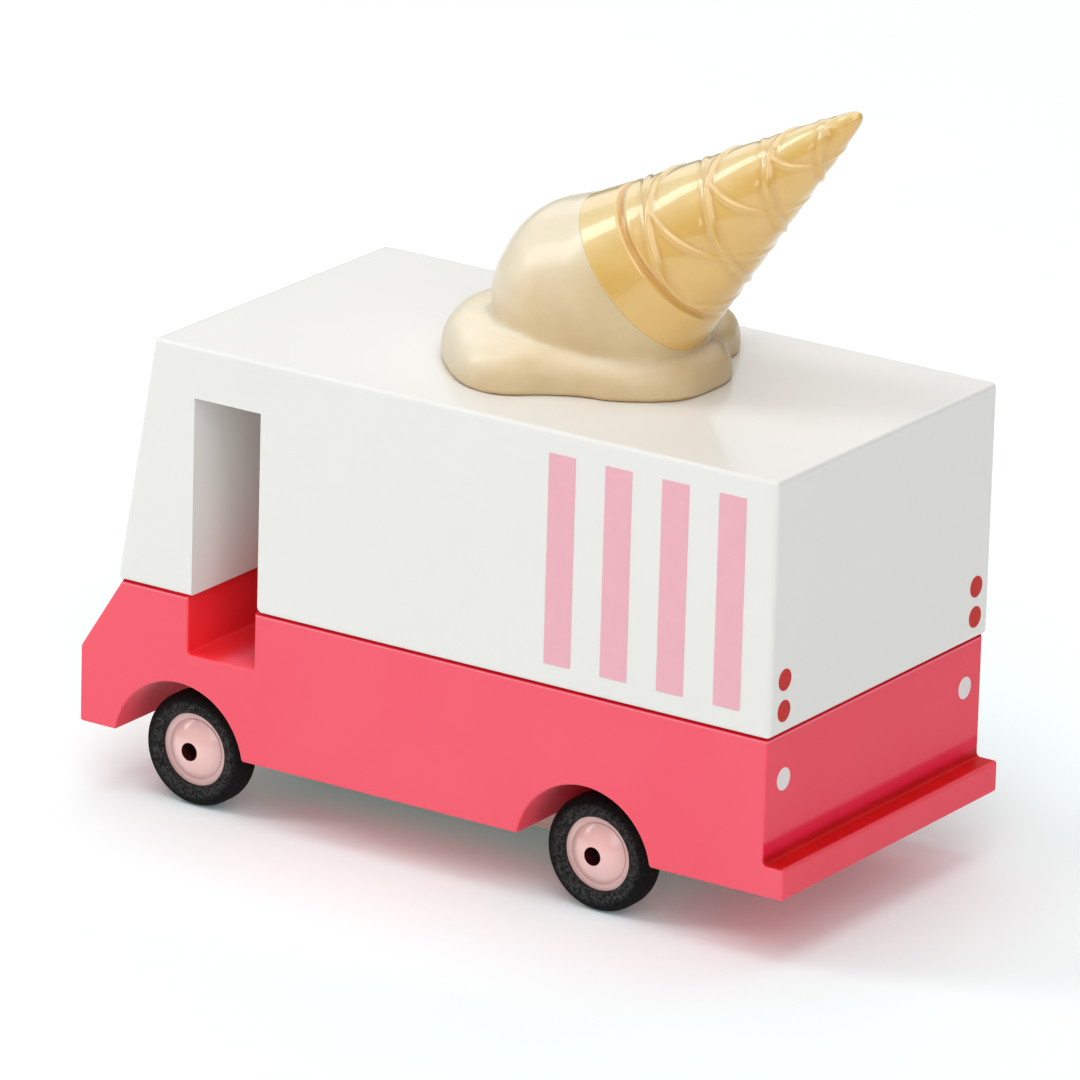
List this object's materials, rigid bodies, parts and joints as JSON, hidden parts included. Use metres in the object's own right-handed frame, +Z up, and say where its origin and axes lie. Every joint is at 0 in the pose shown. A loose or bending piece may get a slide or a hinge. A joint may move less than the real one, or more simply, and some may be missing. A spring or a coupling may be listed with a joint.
{
  "type": "toy ice cream truck",
  "caption": "Small painted wooden toy ice cream truck on free-rolling wheels, with an upside-down dropped cone and scoop on its roof.",
  "frame": {"origin": "on the ground, under the middle of the truck's bounding box", "axes": "+X forward, +Y the truck's left side, +Z up"},
  "size_m": [0.0955, 0.0458, 0.09],
  "materials": {
    "pink_paint": "satin",
    "white_paint": "gloss",
    "bare_wood": "matte",
    "cream_resin": "gloss",
    "wafer_resin": "gloss",
    "pale_pink_print": "satin",
    "red_print": "satin",
    "white_print": "satin",
    "dark_print": "gloss",
    "steel_pin": "satin",
    "hub_plastic": "gloss",
    "tyre_rubber": "matte"
  },
  "bodies": {
    "truck": {"base_block": "pink_paint", "body_block": "white_paint", "underside_rail": "bare_wood", "ice_cream": "cream_resin", "wafer_cone": "wafer_resin", "side_stripes": "pale_pink_print", "tail_lamps": "red_print", "reversing_lamps": "white_print", "headlamps": "white_print", "windscreen_panes": "dark_print"},
    "front_wheelset": {"front_axle": "steel_pin", "front_left_hub": "hub_plastic", "front_left_tyre": "tyre_rubber", "front_right_hub": "hub_plastic", "front_right_tyre": "tyre_rubber"},
    "rear_wheelset": {"rear_axle": "steel_pin", "rear_left_hub": "hub_plastic", "rear_left_tyre": "tyre_rubber", "rear_right_hub": "hub_plastic", "rear_right_tyre": "tyre_rubber"}
  },
  "joints": [
    {"name": "front_axle_spin", "type": "hinge", "parent": "truck", "child": "front_wheelset", "pos_m": [0.0335, 0, 0.0068], "axis": [0, 1, 0], "continuous": true},
    {"name": "rear_axle_spin", "type": "hinge", "parent": "truck", "child": "rear_wheelset", "pos_m": [-0.0216, 0, 0.0068], "axis": [0, 1, 0], "continuous": true}
  ]
}
